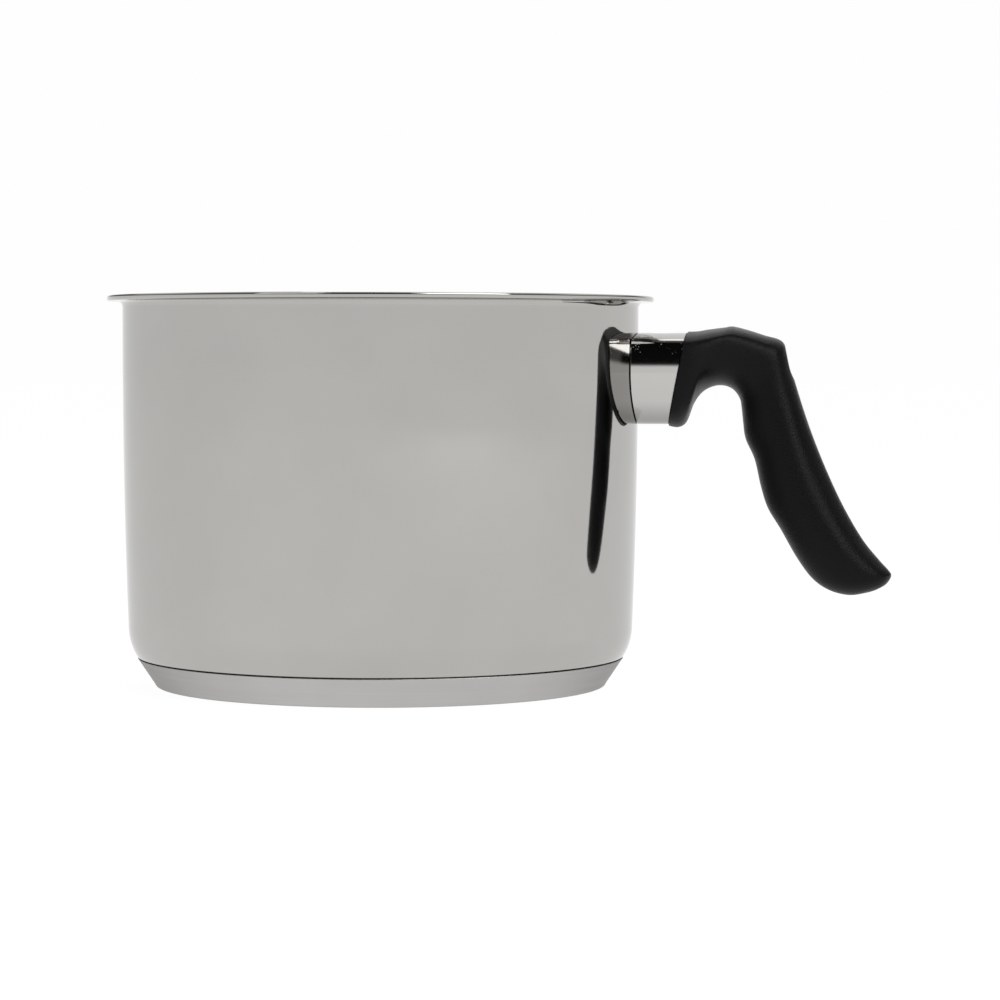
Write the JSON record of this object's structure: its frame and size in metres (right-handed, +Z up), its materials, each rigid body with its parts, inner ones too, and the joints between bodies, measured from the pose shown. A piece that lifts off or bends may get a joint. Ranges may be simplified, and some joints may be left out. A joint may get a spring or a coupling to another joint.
{
  "type": "candle melting pot",
  "caption": "Double-walled stainless steel melting pot with a flat pouring rim, a sandwich base and a downward-hooked black grip on a polished ferrule.",
  "frame": {"origin": "centre of the base's underside, on the pot's axis", "axes": "+Z up along the pot's axis, +X out along the handle, +Y across the handle"},
  "size_m": [0.2423, 0.169, 0.1204],
  "materials": {
    "polished_steel": "mirror-polished stainless steel",
    "satin_steel": "satin-turned stainless steel",
    "core_aluminium": "plain rolled aluminium, hidden in the base",
    "fixing_steel": "bright zinc-plated steel",
    "black_phenolic": "black phenolic with a fine matt grain"
  },
  "bodies": {
    "root": {"inner_bowl": "polished_steel", "outer_shell": "polished_steel", "heat_spreader": "core_aluminium", "base_cap": "satin_steel", "handle_ferrule": "polished_steel", "ferrule_end_plate": "fixing_steel", "handle_grip": "black_phenolic", "handle_screw": "fixing_steel", "lock_washer": "fixing_steel"}
  },
  "joints": []
}
